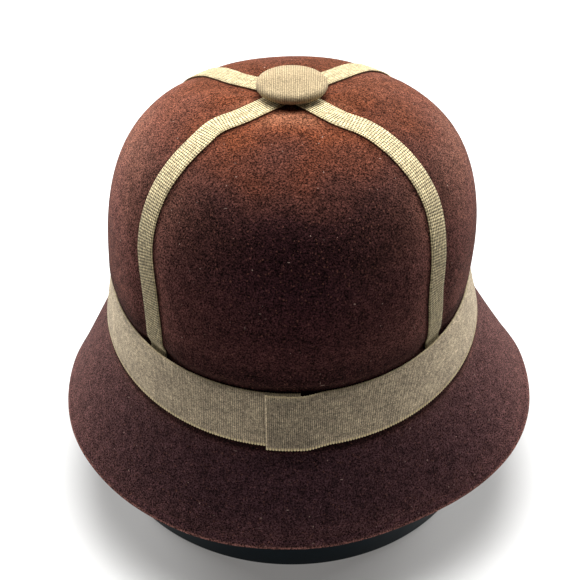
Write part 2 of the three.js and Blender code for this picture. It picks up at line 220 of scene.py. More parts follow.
def look_up(table, column, place, period=0):
    """Value of a table's column at a place, smooth through its rows."""
    count = len(table)

    def at(i):
        if period:
            row = table[i % count]
            return row[0] + (i // count) * period, row[column]
        row = table[min(max(i, 0), count - 1)]
        return row[0], row[column]

    where = place % period if period else place
    i = 0
    while i < count - (1 if period else 2) and where >= at(i + 1)[0]:
        i += 1
    before, left, right, after = at(i - 1), at(i), at(i + 1), at(i + 2)
    step = right[0] - left[0]
    s = min(max((where - left[0]) / step, 0), 1)
    slope_left = (right[1] - before[1]) / (right[0] - before[0]) * step
    slope_right = (after[1] - left[1]) / (after[0] - left[0]) * step
    return (
        (2 * s**3 - 3 * s**2 + 1) * left[1] + (s**3 - 2 * s**2 + s) * slope_left
        + (3 * s**2 - 2 * s**3) * right[1] + (s**3 - s**2) * slope_right
    )


def wall_run(z):
    """Run of a point on the upright wall of the crown, from its height over the foot."""
    return 1 - z / WALL_HEIGHT * (1 - DOME_RUN)


def crown_ring(run):
    """Ellipse of the crown: height over its foot, half width, half length, and how far its middle
    leans along Y and sways along X."""
    foot_ratio = HEAD_HALF_LENGTH / HEAD_HALF_WIDTH
    if run >= DOME_RUN:
        z = WALL_HEIGHT * (1 - run) / (1 - DOME_RUN)
        over_band = ease(z, BAND_TOP + MM, WALL_HEIGHT)
        draw = mix(BAND_DRAW * min(z / BAND_TOP, 1), DOME_DRAW, over_band)
        half = HEAD_HALF_WIDTH - draw
        return Ring(z, half, half * foot_ratio, 0, mix(FOOT_SWAY, WALL_SWAY, z / WALL_HEIGHT))
    angle = run / DOME_RUN * math.pi / 2
    n = DOME_SQUARENESS
    reach = (math.sin(angle) ** n + math.cos(angle) ** n) ** (-1 / n)
    share = reach * math.cos(angle)
    half = (HEAD_HALF_WIDTH - DOME_DRAW) * reach * math.sin(angle)
    ratio = mix(foot_ratio, TOP_RATIO, share**DOME_EASE)
    sway = WALL_SWAY * (1 - share) + DOME_SWAY * 4 * share * (1 - share)
    z = WALL_HEIGHT + (CROWN_HEIGHT - WALL_HEIGHT) * share
    return Ring(z, half, half * ratio, -CROWN_LEAN * share**DOME_EASE, sway)


def ring_radius(ring):
    return math.sqrt(ring.half_width * ring.half_length)


def trim_turn(trim, run):
    angle = math.radians(look_up(TRIM_WAYS, TRIMS[trim], run))
    side = 1 if trim.endswith("right") else -1
    return side * (angle if trim.startswith("near") else math.pi - angle)


def trim_distance(turn, run, ring):
    """Way over the felt from a point to the middle of the nearest crown ribbon."""
    radius = ring_radius(ring)
    apart = [(turn - trim_turn(trim, run)) % FULL_TURN for trim in TRIMS]
    return min(min(a, FULL_TURN - a) * radius for a in apart)


def panel_relief(turn, run, ring):
    """Height of the felt over its plain form: it sinks under the ribbons, and its panels puff up
    round the button."""
    away = trim_distance(turn, run, ring)
    beside = max(away - TRIM_WIDTH * GROOVE_FLOOR, 0) / GROOVE_SHOULDER
    groove = math.exp(-(beside**GROOVE_ROUNDNESS))
    started = ease(ring.z, BAND_HEIGHT, BAND_TOP - TRIM_TUCK)
    radius = ring_radius(ring)
    puff = 0
    if run < DOME_RUN and PUFF_FROM < radius < PUFF_TO:
        swell = ease(radius, PUFF_FROM, PUFF_FULL) * (1 - ease(radius, PUFF_FALLS, PUFF_TO))
        puff = PANEL_PUFF * swell * (1 - groove)
    return puff - GROOVE_DEPTH * started * groove


def crown_point(turn, run, relief=True):
    ring = crown_ring(run)
    height = panel_relief(turn, run, ring) if relief else 0
    size = 1 + min(height, 0) / MEAN_RADIUS
    return Vector((
        ring.sway + ring.half_width * size * math.sin(turn),
        ring.lean - ring.half_length * size * math.cos(turn),
        FOOT_HEIGHT + ring.z + max(height, 0),
    ))


def level_point(turn, run):
    """The crown as if it had no grooves."""
    return crown_point(turn, run, False)


def brim_point(turn, run):
    """The brim leaves the foot of the crown in a bend and goes on straight to its pressed edge."""
    degrees = math.degrees(turn)
    slope = math.radians(look_up(BRIM, SLOPE, degrees, 360))
    width = BRIM_WIDTH * look_up(BRIM, WIDTH, degrees, 360)
    spot = crown_point(turn, 1)
    outward = Vector((math.sin(turn) / HEAD_HALF_WIDTH, -math.cos(turn) / HEAD_HALF_LENGTH, 0))
    outward.normalize()
    wall = crown_point(turn, 0.999) - spot
    wall_slope = math.atan2(wall.z, -wall.dot(outward))
    way = (run - 1) * width
    bent = min(way, BRIM_BEND)
    for i in range(BRIM_BEND_STEPS):
        share = (i + 0.5) / BRIM_BEND_STEPS
        here = mix(wall_slope, slope, share * bent / BRIM_BEND)
        spot += outward * (math.cos(here) * bent / BRIM_BEND_STEPS)
        spot.z -= math.sin(here) * bent / BRIM_BEND_STEPS
    straight = way - bent
    spot += outward * (math.cos(slope) * straight)
    spot.z -= math.sin(slope) * straight
    inside = width - way
    line = math.exp(-(((inside - HEM) / HEM_LINE_WIDTH) ** 2))
    roll = 1 - ease(inside, HEM_ROLL_FULL * HEM, HEM)
    lift = HEM_ROLL * roll - HEM_LINE * line
    return spot + (outward * math.sin(slope) + Vector((0, 0, math.cos(slope)))) * lift


def felt_point(turn, run):
    return crown_point(turn, run) if run <= 1 else brim_point(turn, run)


def dented(spot, run):
    """The felt is blocked by hand, so its form is a little uneven away from the hat band."""
    free = ease(abs(run - HELD_RUN), HELD_WITHIN, FREE_BEYOND)
    uneven = noise.noise(spot / DENT_SIZE)
    middle = Vector((0, 0, FOOT_HEIGHT + WALL_HEIGHT))
    return spot + (spot - middle).normalized() * (DENT * free * uneven)


def surface_normal(surface, turn, run):
    step = 1e-3

    def at(x, y):
        return surface(math.atan2(x, -y), math.hypot(x, y))

    x, y = run * math.sin(turn), -run * math.cos(turn)
    along_x = at(x + step, y) - at(x - step, y)
    along_y = at(x, y + step) - at(x, y - step)
    return along_x.cross(along_y).normalized()


# Making of pieces

def to_mesh(bm, name):
    mesh = bpy.data.meshes.new(name)
    bm.to_mesh(mesh)
    bm.free()
    return mesh


def finish_piece(name, bm, replaced, material):
    mesh = to_mesh(bm, name)
    obj = bpy.data.objects.new(name, mesh)
    bpy.context.scene.collection.objects.link(obj)
    mesh.materials.append(material)
    for polygon in mesh.polygons:
        polygon.use_smooth = True
    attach(obj, "root")
    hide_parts(replaced)
    return obj


def spin_row(bm, row, steps):
    edges = [bm.edges.new(pair) for pair in zip(row, row[1:])]
    bmesh.ops.spin(
        bm, geom=row + edges, cent=(0, 0, 0), axis=(0, 0, 1), dvec=(0, 0, 0),
        angle=FULL_TURN, steps=steps, use_merge=True, use_duplicate=False,
    )
    bmesh.ops.remove_doubles(bm, verts=bm.verts, dist=1e-6)
    bmesh.ops.recalc_face_normals(bm, faces=bm.faces)


def spin_disc(radii, steps):
    """Flat disc of rings with these radii, facing up."""
    bm = bmesh.new()
    spin_row(bm, [bm.verts.new((r, 0, 0)) for r in radii], steps)
    bm.normal_update()
    if sum(f.normal.z for f in bm.faces) < 0:
        bmesh.ops.reverse_faces(bm, faces=bm.faces)
    return bm


def spin_solid(profile, steps, middle):
    """Closed turned body: the profile goes from the axis, round, and back to the axis."""
    bm = bmesh.new()
    spin_row(bm, [bm.verts.new((r, 0, z)) for r, z in profile], steps)
    bmesh.ops.translate(bm, verts=bm.verts, vec=middle)
    return bm


def rounded(radius, height, size, start, end, steps):
    """Rounding in a turned body's profile, from one angle to another round its own middle."""
    angles = [mix(start, end, i / steps) for i in range(steps + 1)]
    return [(radius + size * math.cos(a), height + size * math.sin(a)) for a in angles]


def painted_top_light(normal, spot):
    """Painted light from above: 1 where the felt faces up and 0 where it is upright, with patches
    brushed another way.
    """
    facing_up = (normal.z - UPRIGHT) / (LEVEL - UPRIGHT)
    brushed = noise.noise(spot / NAP_CLOUD) * NAP_UNEVEN
    return min(max(facing_up + brushed, 0), 1)


def painted_felt_shade(turn, run, ring, beside):
    """Painted shade on the crown: beside the ribbons, over the band, at the top of the far side and
    on the right side.
    """
    return max(
        SHADE_BESIDE_TRIM * (1 - ease(beside, 0, SHADE_BESIDE_TRIM_WIDTH)),
        SHADE_OVER_BAND * (1 - ease(ring.z - BAND_TOP, SHADE_OVER_BAND_FULL, SHADE_OVER_BAND_HEIGHT)),
        SHADE_FAR_TOP * max(-math.cos(turn), 0) * (1 - ease(run, *SHADE_FAR_TOP_RUNS)),
        SHADE_RIGHT * max(math.sin(turn), 0),
    )


def painted_lip_highlight(turn, ring, beside):
    """Painted highlight on the near panel's lip, just out from the button."""
    radius = ring_radius(ring)
    lip = ease(radius, *LIP_HIGHLIGHT_RISES) * (1 - ease(radius, *LIP_HIGHLIGHT_FALLS))
    return LIP_HIGHLIGHT * max(math.cos(turn), 0) * ease(beside, 0, LIP_HIGHLIGHT_BESIDE) * lip


def felt_hat(material):
    """Crown and brim in one: a flat disc of turn and run, blocked over the form of the hat. Kept
    for the finish are painted light from above with the nap's patches, painted shade, the near
    panel's painted highlight, and where the brim and its rim are."""
    hem = 1 - HEM_ROWS_FROM / BRIM_WIDTH
    runs = [DOME_RUN * i / DOME_ROWS for i in range(DOME_ROWS)]
    runs += [mix(DOME_RUN, 1, i / WALL_ROWS) for i in range(WALL_ROWS)]
    runs += [1 + hem * i / BRIM_ROWS for i in range(BRIM_ROWS)]
    runs += [1 + mix(hem, 1, i / HEM_ROWS) for i in range(HEM_ROWS + 1)]
    bm = spin_disc(runs, FELT_TURNS)
    top_light_and_nap = bm.verts.layers.float.new("top_light_and_nap")
    brim = bm.verts.layers.float.new("brim")
    rim = bm.verts.layers.float.new("rim")
    lip_highlight = bm.verts.layers.float.new("lip_highlight")
    painted_shade = bm.verts.layers.float.new("painted_shade")
    place_of = {v: (math.atan2(v.co.x, -v.co.y), v.co.xy.length) for v in bm.verts}
    for v, (turn, run) in place_of.items():
        v.co = dented(felt_point(turn, run), run)
    bm.normal_update()
    for v, (turn, run) in place_of.items():
        # painted light from above, with patches where the nap is brushed another way
        v[top_light_and_nap] = painted_top_light(v.normal, v.co)
        v[brim] = ease(run, *BRIM_STARTS)
        v[rim] = max(ease(run, *RIM_STARTS), RIM_SHEEN * ease(run, *RIM_SHEEN_STARTS))
        if run < 1:
            ring = crown_ring(run)
            beside = trim_distance(turn, run, ring) - TRIM_WIDTH / 2
            # painted shade on the crown
            v[painted_shade] = painted_felt_shade(turn, run, ring, beside)
            # painted highlight on the near panel's lip
            v[lip_highlight] = painted_lip_highlight(turn, ring, beside)
    hat = finish_piece("felt_hat", bm, "felt_body", material)
    wall = hat.modifiers.new("wall", "SOLIDIFY")
    wall.thickness = FELT
    wall.offset = -1
    edge = hat.modifiers.new("edge", "BEVEL")
    edge.width = FELT_EDGE
    edge.segments = 3
    edge.limit_method = "ANGLE"
    edge.angle_limit = math.radians(50)
    return hat


def felt_surface(hat):
    """The outer face of the felt as a tree that rays can be cast on."""
    bm = bmesh.new()
    bm.from_mesh(hat.data)
    tree = BVHTree.FromBMesh(bm)
    bm.free()
    return tree


def strip(steps, length, width, place, painted_light_at, picots):
    """Ribbon from a grid: place(along, across) gives the point for shares of 0 to 1. Its UV map is
    in metres. Kept for the finish are its tone with painted light and shade, and how far out a point
    lies: -1 at the lower edge and 1 at the upper one, or 0 all over where the ribbon has no picots."""
    bm = bmesh.new()
    uv = bm.loops.layers.uv.new("ribbon")
    bmesh.ops.create_grid(bm, x_segments=steps, y_segments=ACROSS_STEPS, size=0.5)
    edge = bm.verts.layers.float.new("edge")
    painted_light_tone = bm.verts.layers.float.new("painted_light_tone")
    shift = Vector((0.5, 0.5, 0))
    for face in bm.faces:
        for loop in face.loops:
            along, across = (loop.vert.co + shift).xy
            loop[uv].uv = (along * length, across * width)
    share_of = {v: (v.co + shift).xy for v in bm.verts}
    for v, (along, across) in share_of.items():
        v[edge] = (2 * across - 1) * picots
        v.co = place(along, across)
    bm.normal_update()
    for v, (along, across) in share_of.items():
        v[painted_light_tone] = painted_light_at(along, v.normal)
    return bm


def thicken(obj):
    cloth = obj.modifiers.new("cloth", "SOLIDIFY")
    cloth.thickness = RIBBON
    cloth.offset = 1
    return obj


def scallop(along_length, across):
    """The weft turns round in tiny loops along the ribbon's edges."""
    edge = ease(abs(across - 0.5), SELVEDGE, 0.5)
    wave = 0.5 + 0.5 * math.cos(FULL_TURN * along_length / PICOT)
    return math.copysign(PICOT_DEPTH * edge * wave, across - 0.5)


def band_length():
    """Length of the hat band once round the crown, ends lapped."""
    ring = crown_ring(wall_run(BAND_TOP / 2))
    count = 180
    turns = [i / count * FULL_TURN for i in range(count + 1)]
    points = [
        Vector((ring.half_width * math.sin(turn), ring.half_length * math.cos(turn)))
        for turn in turns
    ]
    return sum((b - a).length for a, b in zip(points, points[1:])) + LAP_LENGTH


def hat_band(material):
    """Once round the crown: the upper end climbs on the lower one and is folded under itself."""
    length = band_length()
    lap_angle = LAP_LENGTH / HEAD_HALF_LENGTH
    rise_angle = LAP_RISE / HEAD_HALF_LENGTH
    whole = FULL_TURN + lap_angle
    cut_length = length + LAP_BEND + LAP_FOLD
    layer = RIBBON + LAYER_GAP

    def travel(along):
        """Share of the way round at a share of the cut length, and how far it is folded under."""
        way = along * cut_length
        if way <= length:
            return way / length, 0
        if way <= length + LAP_BEND:
            bend = (way - length) / LAP_BEND * math.pi
            return 1 + math.sin(bend) * LAP_BULGE * layer / length, (1 - math.cos(bend)) / 2
        return 1 - (way - length - LAP_BEND) / length, 1

    def turn_at(travelled):
        return LAP_TURN + lap_angle - travelled * whole

    def place(along, across):
        travelled, folded = travel(along)
        left = whole * (1 - min(travelled, 1))
        climb = 1 - ease(left, lap_angle, lap_angle + rise_angle)
        height = RIBBON_LIFT + climb * 2 * layer - folded * layer
        z = BAND_HEIGHT + BAND_WIDTH * across + scallop(along * cut_length, across)
        z -= LAP_DROP * climb
        turn, run = turn_at(travelled), wall_run(z)
        return level_point(turn, run) + surface_normal(level_point, turn, run) * height

    # painted light on the band: paler towards its sides; the lapped end is darker
    def painted_light_at(along, normal):
        travelled, _ = travel(along)
        away = math.pi - abs((turn_at(travelled) % FULL_TURN) - math.pi)
        lapped = ease(travelled * length, length - 3 * LAP_LENGTH, length - LAP_FOLD)
        # painted highlight along the fold
        fold_highlight = 1 - ease(abs(along * cut_length - length), *CREASE)
        lit_by_side = mix(1, BAND_SIDES_LIT, ease(away, *BAND_SIDES))
        return lit_by_side * mix(1, LAP_PALE, lapped) * mix(1, CREASE_HIGHLIGHT, fold_highlight)

    bm = strip(BAND_STEPS, cut_length, BAND_WIDTH, place, painted_light_at, 1)
    return thicken(finish_piece("grosgrain_band", bm, "hat_band", material))


def crown_ribbon(trim, felt_tree, material):
    """From under the button over the dome and down behind the band, on the felt all the way."""
    first = TRIM_STOP / (HEAD_HALF_WIDTH - DOME_DRAW) * DOME_RUN * 2 / math.pi
    last = wall_run(BAND_TOP - TRIM_TUCK)
    side, _ = trim.split("_")
    over_felt = 5 * MM
    centres = []
    for i in range(TRIM_STEPS + 1):
        run = mix(first, last, i / TRIM_STEPS)
        turn = trim_turn(trim, run)
        centres.append((dented(felt_point(turn, run), run), surface_normal(felt_point, turn, run)))
    length = sum((b[0] - a[0]).length for a, b in zip(centres, centres[1:]))

    def place(along, across):
        i = min(int(round(along * TRIM_STEPS)), TRIM_STEPS)
        spot, normal = centres[i]
        ahead = centres[min(i + 1, TRIM_STEPS)][0] - centres[max(i - 1, 0)][0]
        sideways = ahead.normalized().cross(normal).normalized()
        target = spot + sideways * ((across - 0.5) * TRIM_WIDTH)
        hit, _, _, _ = felt_tree.ray_cast(target + normal * over_felt, -normal)
        return (hit or target) + normal * TRIM_LIFT

    # painted light and shade: paler where the ribbon faces up, darker where it is upright and on the
    # far side
    def painted_light_at(along, normal):
        return mix(TRIM_FOOT_SHADE, TRIM_TOP_LIT[side], ease(abs(normal.z), TRIM_UPRIGHT, 1))

    bm = strip(TRIM_STEPS, length, TRIM_WIDTH, place, painted_light_at, 0)
    bmesh.ops.reverse_faces(bm, faces=bm.faces)
    name = "crown_ribbon_" + trim
    return thicken(finish_piece(name, bm, "ribbon_" + trim, material))


def covered_button(material):
    """A domed button covered in ribbon cloth, over the ends of the crown ribbons."""
    flat = BUTTON_RADIUS - BUTTON_EDGE
    dome = BUTTON_HEIGHT - 2 * BUTTON_EDGE
    profile = [(0, 0), (flat * BUTTON_HOLLOW_AT, BUTTON_HOLLOW)]
    profile += rounded(
        flat, BUTTON_EDGE, BUTTON_EDGE, -QUARTER_TURN, QUARTER_TURN, BUTTON_SIDE_STEPS,
    )
    for i in range(1, BUTTON_DOME_STEPS + 1):
        share = i / BUTTON_DOME_STEPS
        profile.append((flat * (1 - share), 2 * BUTTON_EDGE + dome * (1 - (1 - share) ** 2)))
    seat = crown_point(0, 0) + Vector((0, 0, BUTTON_SEAT))
    bm = spin_solid(profile, BUTTON_TURNS, seat)
    return finish_piece("covered_button", bm, "top_button", material)


def round_stand(material):
    foot, top = STAND_FOOT_EDGE, STAND_EDGE
    profile = [(0, 0)]
    profile += rounded(STAND_RADIUS - foot, foot, foot, -QUARTER_TURN, 0, STAND_EDGE_STEPS)
    profile += rounded(
        STAND_RADIUS - top, STAND_HEIGHT - top, top, 0, QUARTER_TURN, STAND_EDGE_STEPS,
    )
    profile.append((0, STAND_HEIGHT))
    bm = spin_solid(profile, STAND_TURNS, Vector())
    return finish_piece("round_stand", bm, "display_stand", material)


# Nodes

def node(tree, kind, **settings):
    made = tree.nodes.new(kind)
    for key, value in settings.items():
        setattr(made, key, value)
    return made


def connect(tree, socket, value):
    """Sets a socket to a number or colour, or links it from another node's output."""
    if isinstance(value, bpy.types.NodeSocket):
        tree.links.new(value, socket)
    else:
        socket.default_value = value


def feed(tree, made, **inputs):
    """Sets or links a node's inputs by name, with _ for a space."""
    for name, value in inputs.items():
        connect(tree, made.inputs[name.replace("_", " ")], value)
    return made


def remap(tree, value, low, high, to_low=0.0, to_high=1.0, kind="SMOOTHSTEP"):
    made = node(tree, "ShaderNodeMapRange", interpolation_type=kind)
    feed(tree, made, Value=value, From_Min=low, From_Max=high, To_Min=to_low, To_Max=to_high)
    return made.outputs["Result"]


def math_node(tree, operation, a, b=0.0, clamp=False):
    made = node(tree, "ShaderNodeMath", operation=operation, use_clamp=clamp)
    connect(tree, made.inputs[0], a)
    connect(tree, made.inputs[1], b)
    return made.outputs["Value"]


def vector_node(tree, operation, a, b):
    made = node(tree, "ShaderNodeVectorMath", operation=operation)
    connect(tree, made.inputs[0], a)
    connect(tree, made.inputs[1], b)
    return made.outputs["Vector"]


def blend(tree, factor, a, b, kind="MIX"):
    made = node(tree, "ShaderNodeMix", data_type="RGBA", blend_type=kind)
    for name, value in (("Factor", factor), ("A", a), ("B", b)):
        connect(tree, made.inputs[name], (*value, 1) if isinstance(value, tuple) else value)
    return made.outputs["Result"]


def ramp(tree, source, stops):
    made = feed(tree, node(tree, "ShaderNodeValToRGB"), Fac=source)
    elements = made.color_ramp.elements
    elements[0].position, elements[0].color = stops[0][0], (*stops[0][1], 1)
    elements[1].position, elements[1].color = stops[-1][0], (*stops[-1][1], 1)
    for place, color in stops[1:-1]:
        elements.new(place).color = (*color, 1)
    return made.outputs["Color"]


def new_group(name, inputs, outputs):
    """Group with a vector input, then named number inputs, and named number outputs."""
    tree = bpy.data.node_groups.new(name, "ShaderNodeTree")
    tree.interface.new_socket("Vector", in_out="INPUT", socket_type="NodeSocketVector")
    for direction, labels in (("INPUT", inputs), ("OUTPUT", outputs)):
        for label in labels:
            tree.interface.new_socket(label, in_out=direction, socket_type="NodeSocketFloat")
    return tree, node(tree, "NodeGroupInput").outputs, node(tree, "NodeGroupOutput").inputs


def use_group(tree, group, **inputs):
    return feed(tree, node(tree, "ShaderNodeGroup", node_tree=group), **inputs).outputs


def grain_group():
    """Fine unevenness of fibres or yarn, as a factor round 1."""
    tree, given, result = new_group("fibre_grain", ("Size", "Contrast"), ("Factor",))
    darkest = 0.12
    grains = node(tree, "ShaderNodeTexNoise")
    scale = math_node(tree, "DIVIDE", 1.0, given["Size"])
    feed(tree, grains, Vector=given["Vector"], Scale=scale, Detail=3.0, Roughness=0.62)
    around = math_node(tree, "SUBTRACT", grains.outputs["Fac"], 0.5)
    spread = math_node(tree, "MULTIPLY", around, given["Contrast"])
    factor = math_node(tree, "MAXIMUM", math_node(tree, "ADD", spread, 1.0), darkest)
    tree.links.new(factor, result["Factor"])
    return tree


def lint_group():
    """Sparse pale flecks and short fibres that cling to cloth."""
    tree, given, result = new_group("lint", ("Spacing", "Size", "Share"), ("Mask",))
    bends, bend_size = 420.0, 1.6 * MM
    bend = node(tree, "ShaderNodeTexNoise")
    feed(tree, bend, Vector=given["Vector"], Scale=bends, Detail=1.0)
    shift = node(tree, "ShaderNodeVectorMath", operation="SCALE")
    feed(tree, shift, Vector=bend.outputs["Color"], Scale=bend_size)
    moved = vector_node(tree, "ADD", given["Vector"], shift.outputs["Vector"])
    scale = math_node(tree, "DIVIDE", 1.0, given["Spacing"])
    cells = feed(tree, node(tree, "ShaderNodeTexVoronoi"), Vector=moved, Scale=scale)
    reach = math_node(tree, "DIVIDE", given["Size"], given["Spacing"])
    near = math_node(tree, "LESS_THAN", cells.outputs["Distance"], reach)
    pick = feed(tree, node(tree, "ShaderNodeSeparateColor"), Color=cells.outputs["Color"])
    chosen = math_node(tree, "LESS_THAN", pick.outputs["Red"], given["Share"])
    strength = math_node(tree, "MULTIPLY", chosen, pick.outputs["Green"])
    tree.links.new(math_node(tree, "MULTIPLY", near, strength), result["Mask"])
    return tree


def rib_group():
    """Grosgrain: round ribs across the ribbon, with the warp's fine threads over them."""
    tree, given, result = new_group("grosgrain_ribs", ("Pitch", "Thread"), ("Height", "Shade"))
    thread_share = 0.35
    waves = {}
    for direction, pitch in (("X", "Pitch"), ("Y", "Thread")):
        wave = node(tree, "ShaderNodeTexWave", wave_type="BANDS", bands_direction=direction)
        # One band of the wave texture is 2 pi / 20 of its scale.
        scale = math_node(tree, "DIVIDE", math.pi / 10, given[pitch])
        feed(tree, wave, Vector=given["Vector"], Scale=scale, Distortion=0.6, Detail=1.0)
        waves[direction] = wave.outputs["Fac"]
    threads = math_node(tree, "MULTIPLY", waves["Y"], thread_share)
    height = math_node(tree, "ADD", waves["X"], threads)
    shade = remap(tree, height, 0.1, 1.25, to_low=0.45, to_high=1.3, kind="LINEAR")
    tree.links.new(height, result["Height"])
    tree.links.new(shade, result["Shade"])
    return tree


# Finishes

# how far the felt faces up, and the colour of the velour there: painted light from above, warm
# where the felt faces up and nearly black where it is upright
VELOUR_STRAIGHT_ON = (
    (0.0, (0.018, 0.0054, 0.0072)), (0.22, (0.0165, 0.0054, 0.0074)),
    (0.38, (0.0135, 0.0045, 0.0056)), (0.52, (0.0135, 0.0046, 0.0052)),
    (0.68, (0.020, 0.0072, 0.0074)), (0.82, (0.044, 0.0155, 0.0120)),
    (0.93, (0.066, 0.0185, 0.0100)), (1.0, (0.096, 0.0240, 0.0095)),
)
# painted sheen: the colours of the velour where it is seen edge on
VELOUR_EDGE_ON_SHEEN = (
    (0.0, (0.110, 0.043, 0.034)), (0.12, (0.145, 0.058, 0.046)), (0.52, (0.170, 0.072, 0.050)),
    (0.68, (0.160, 0.066, 0.045)), (0.82, (0.140, 0.052, 0.034)), (1.0, (0.125, 0.042, 0.022)),
)
BRIM_STRAIGHT_ON = (0.0235, 0.0105, 0.0135)
BRIM_EDGE_ON_SHEEN = (0.088, 0.041, 0.037)
LIP_HIGHLIGHT_COLOR = (0.21, 0.085, 0.046)
PAINTED_SHADE_COLOR = (0.004, 0.0014, 0.0018)
RIM_COLOR = (0.14, 0.062, 0.052)
SHEEN_POWER = 1.25
SHEEN_GAIN = 1.4
TIP_COLOR = (0.34, 0.14, 0.095)
TIP_STRENGTH = 0.2
FIBRE_COLOR = (0.40, 0.28, 0.23)
FIBRE_STRENGTH = 0.75
# how the pattern is drawn out along X, Y and Z, and how far the fibres lie apart
FIBRES = (
    ((1, 1, 0.28), 3.4 * MM), ((0.28, 1, 1), 3.1 * MM), ((1, 0.28, 0.8), 3.7 * MM),
)

# pale and dark yarn
BAND_YARN = (0.405, 0.326, 0.218), (0.275, 0.220, 0.150)
BUTTON_YARN = (0.35, 0.272, 0.158), (0.28, 0.213, 0.122)
TRIM_YARN = (0.42, 0.345, 0.196), (0.34, 0.276, 0.155)
YARN_CLOUD = 9 * MM
LOOP_COLOR = (0.68, 0.55, 0.30)

STAND_BLACK = ((0.8, (0.0010, 0.0034, 0.0062)), (1.0, (0.0016, 0.0045, 0.0080)))
DUST_COLOR = (0.2, 0.2, 0.19)
DUST_STRENGTH = 0.5


def new_material(name):
    material = bpy.data.materials.new(name)
    material.use_nodes = True
    tree = material.node_tree
    tree.nodes.clear()
    shader = node(tree, "ShaderNodeBsdfPrincipled")
    out = node(tree, "ShaderNodeOutputMaterial")
    tree.links.new(shader.outputs["BSDF"], out.inputs["Surface"])
    return material, tree, shader


def bumped(tree, shader, height, strength, depth):
    bump = node(tree, "ShaderNodeBump")
    feed(tree, bump, Strength=strength, Distance=depth, Height=height)
    tree.links.new(bump.outputs["Normal"], shader.inputs["Normal"])


def tinted(tree, color, factor):
    """A colour times a plain factor."""
    grey = feed(tree, node(tree, "ShaderNodeCombineColor"), Red=factor, Green=factor, Blue=factor)
    return blend(tree, 1.0, color, grey.outputs["Color"], "MULTIPLY")


def attribute(tree, name):
    return node(tree, "ShaderNodeAttribute", attribute_name=name).outputs["Fac"]


def velour(grain, lint):
    """Deep brown velour felt with a short nap and painted light: warm where it faces up, nearly
    black seen straight on where the felt is upright, and a dusty pink painted sheen edge on."""
    material, tree, shader = new_material("velour_felt")
    where = node(tree, "ShaderNodeTexCoord").outputs["Object"]
    top_light_and_nap, on_brim = attribute(tree, "top_light_and_nap"), attribute(tree, "brim")
    # painted light from above: the colour follows how far the felt faces up
    straight_on = blend(tree, on_brim, ramp(tree, top_light_and_nap, VELOUR_STRAIGHT_ON), BRIM_STRAIGHT_ON)
    edge_on_sheen = blend(tree, on_brim, ramp(tree, top_light_and_nap, VELOUR_EDGE_ON_SHEEN), BRIM_EDGE_ON_SHEEN)
    # painted sheen: the colour turns to the edge-on colours where the felt is seen edge on
    facing = feed(tree, node(tree, "ShaderNodeLayerWeight"), Blend=0.5).outputs["Facing"]
    turned = math_node(tree, "POWER", facing, SHEEN_POWER)
    sheen_share = math_node(tree, "MULTIPLY", turned, SHEEN_GAIN, clamp=True)
    color = blend(tree, sheen_share, straight_on, edge_on_sheen)
    # painted highlight on the near panel's lip
    color = blend(tree, attribute(tree, "lip_highlight"), color, LIP_HIGHLIGHT_COLOR)
    # painted shade beside the ribbons, over the band, on the far top and on the right side
    color = blend(tree, attribute(tree, "painted_shade"), color, PAINTED_SHADE_COLOR)
    color = blend(tree, attribute(tree, "rim"), color, RIM_COLOR)
    fine = use_group(tree, grain, Vector=where, Size=0.62 * MM, Contrast=7.5)["Factor"]
    soft = use_group(tree, grain, Vector=where, Size=4 * MM, Contrast=1.7)["Factor"]
    color = tinted(tree, color, math_node(tree, "MULTIPLY", fine, soft))
    tips = use_group(tree, lint, Vector=where, Spacing=1.3 * MM, Size=0.34 * MM, Share=0.75)
    strength = math_node(tree, "MULTIPLY", tips["Mask"], TIP_STRENGTH)
    color = blend(tree, strength, color, TIP_COLOR)
    for stretch, spacing in FIBRES:
        drawn = vector_node(tree, "MULTIPLY", where, stretch)
        fibres = use_group(tree, lint, Vector=drawn, Spacing=spacing, Size=0.2 * MM, Share=0.5)
        strength = math_node(tree, "MULTIPLY", fibres["Mask"], FIBRE_STRENGTH)
        color = blend(tree, strength, color, FIBRE_COLOR)
    bumped(tree, shader, fine, strength=0.35, depth=0.3 * MM)
    feed(tree, shader, Base_Color=color, Roughness=0.8, Specular_IOR_Level=0.02)
    return material


def yarn_color(tree, where, yarn, detail):
    """Cloudy change from the dark yarn to the pale one."""
    pale_yarn, dark_yarn = yarn
    cloud = node(tree, "ShaderNodeTexNoise")
    feed(tree, cloud, Vector=where, Scale=1 / YARN_CLOUD, Detail=detail, Roughness=0.55)
    return ramp(tree, cloud.outputs["Fac"], ((0.3, dark_yarn), (0.7, pale_yarn)))


def ribbon_base(name, grain, weave, yarn):
    """Matt ribbon cloth: the shade of its weave, the yarn's unevenness and its painted light."""
    material, tree, shader = new_material(name)
    where = node(tree, "ShaderNodeUVMap", uv_map="ribbon").outputs["UV"]
    height, shade = weave(tree, where)
    fine = use_group(tree, grain, Vector=where, Size=0.6 * MM, Contrast=3.6)["Factor"]
    slubs = use_group(tree, grain, Vector=where, Size=2 * MM, Contrast=2.0)["Factor"]
    uneven = math_node(tree, "MULTIPLY", fine, slubs)
    color = yarn_color(tree, where, yarn, detail=4)
    color = tinted(tree, color, math_node(tree, "MULTIPLY", shade, uneven))
    # painted light and shade in the ribbon's tone
    color = tinted(tree, color, attribute(tree, "painted_light_tone"))
    bumped(tree, shader, height, strength=0.5, depth=0.22 * MM)
    feed(tree, shader, Roughness=0.75, Specular_IOR_Level=0.2)
    return material, tree, shader, where, color


